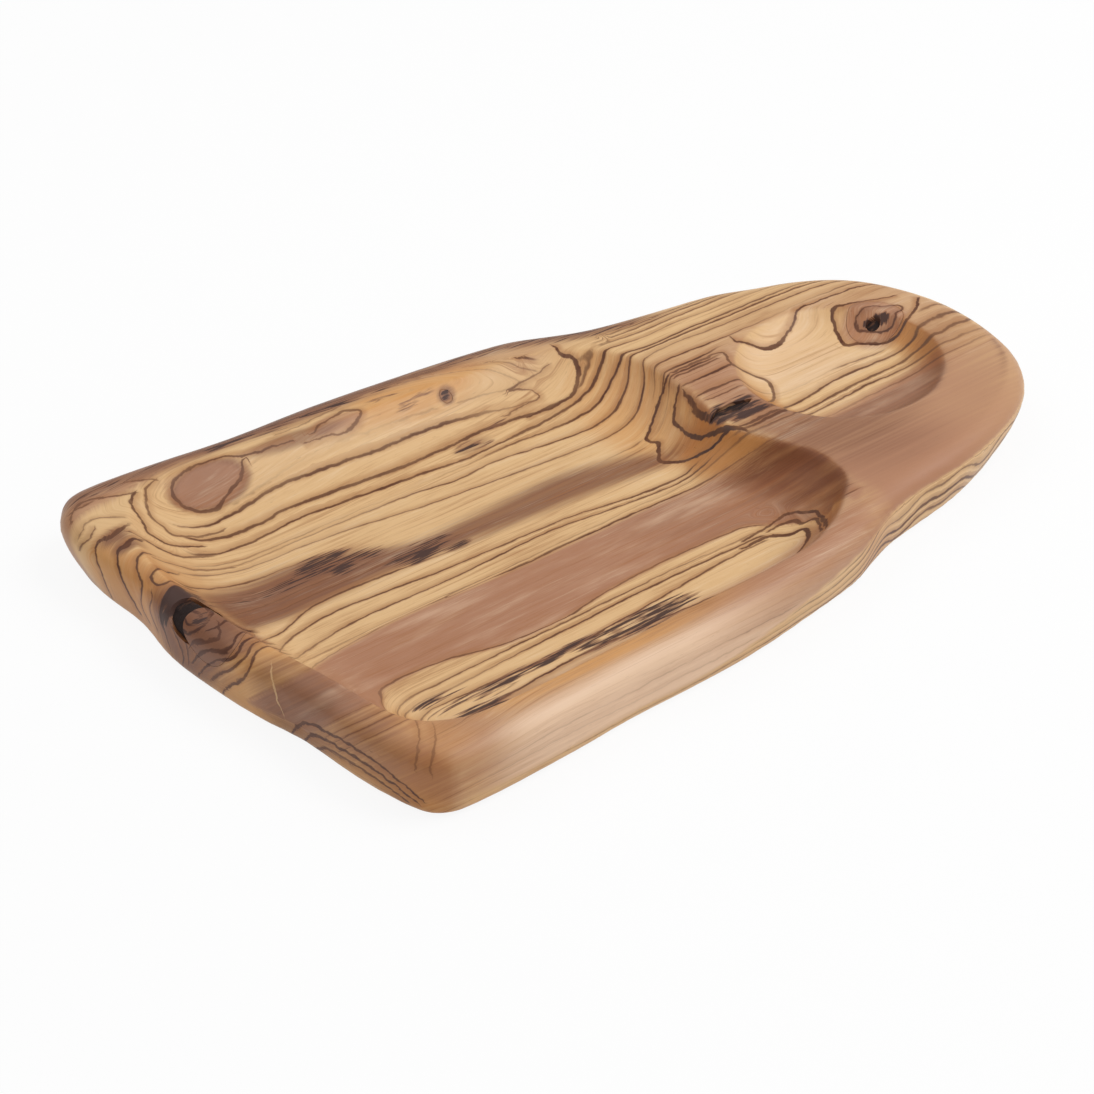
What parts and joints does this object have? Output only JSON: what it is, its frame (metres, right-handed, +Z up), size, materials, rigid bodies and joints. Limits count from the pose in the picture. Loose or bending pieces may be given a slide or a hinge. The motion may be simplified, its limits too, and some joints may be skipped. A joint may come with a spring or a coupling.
{
  "type": "wooden serving plate",
  "caption": "Live-edge olive wood serving plate carved from one plank, with a large scooped hollow and a small round hollow for dips, and knots and bark let into the wood.",
  "frame": {"origin": "on the table, under the middle of the plate", "axes": "+X along the grain from the wide end to the narrow end, +Y to the back, +Z up"},
  "size_m": [0.4, 0.24, 0.026],
  "materials": {
    "olive_wood": "oiled, satin",
    "knot_wood": "oiled, satin",
    "bark": "matte"
  },
  "bodies": {
    "root": {"carved_plank": "olive_wood", "rim_knot": "knot_wood", "rim_knot_bark": "bark", "dish_knot": "knot_wood", "dish_knot_pith": "bark", "pin_knot": "knot_wood", "web_bark_seam": "bark"}
  },
  "joints": []
}
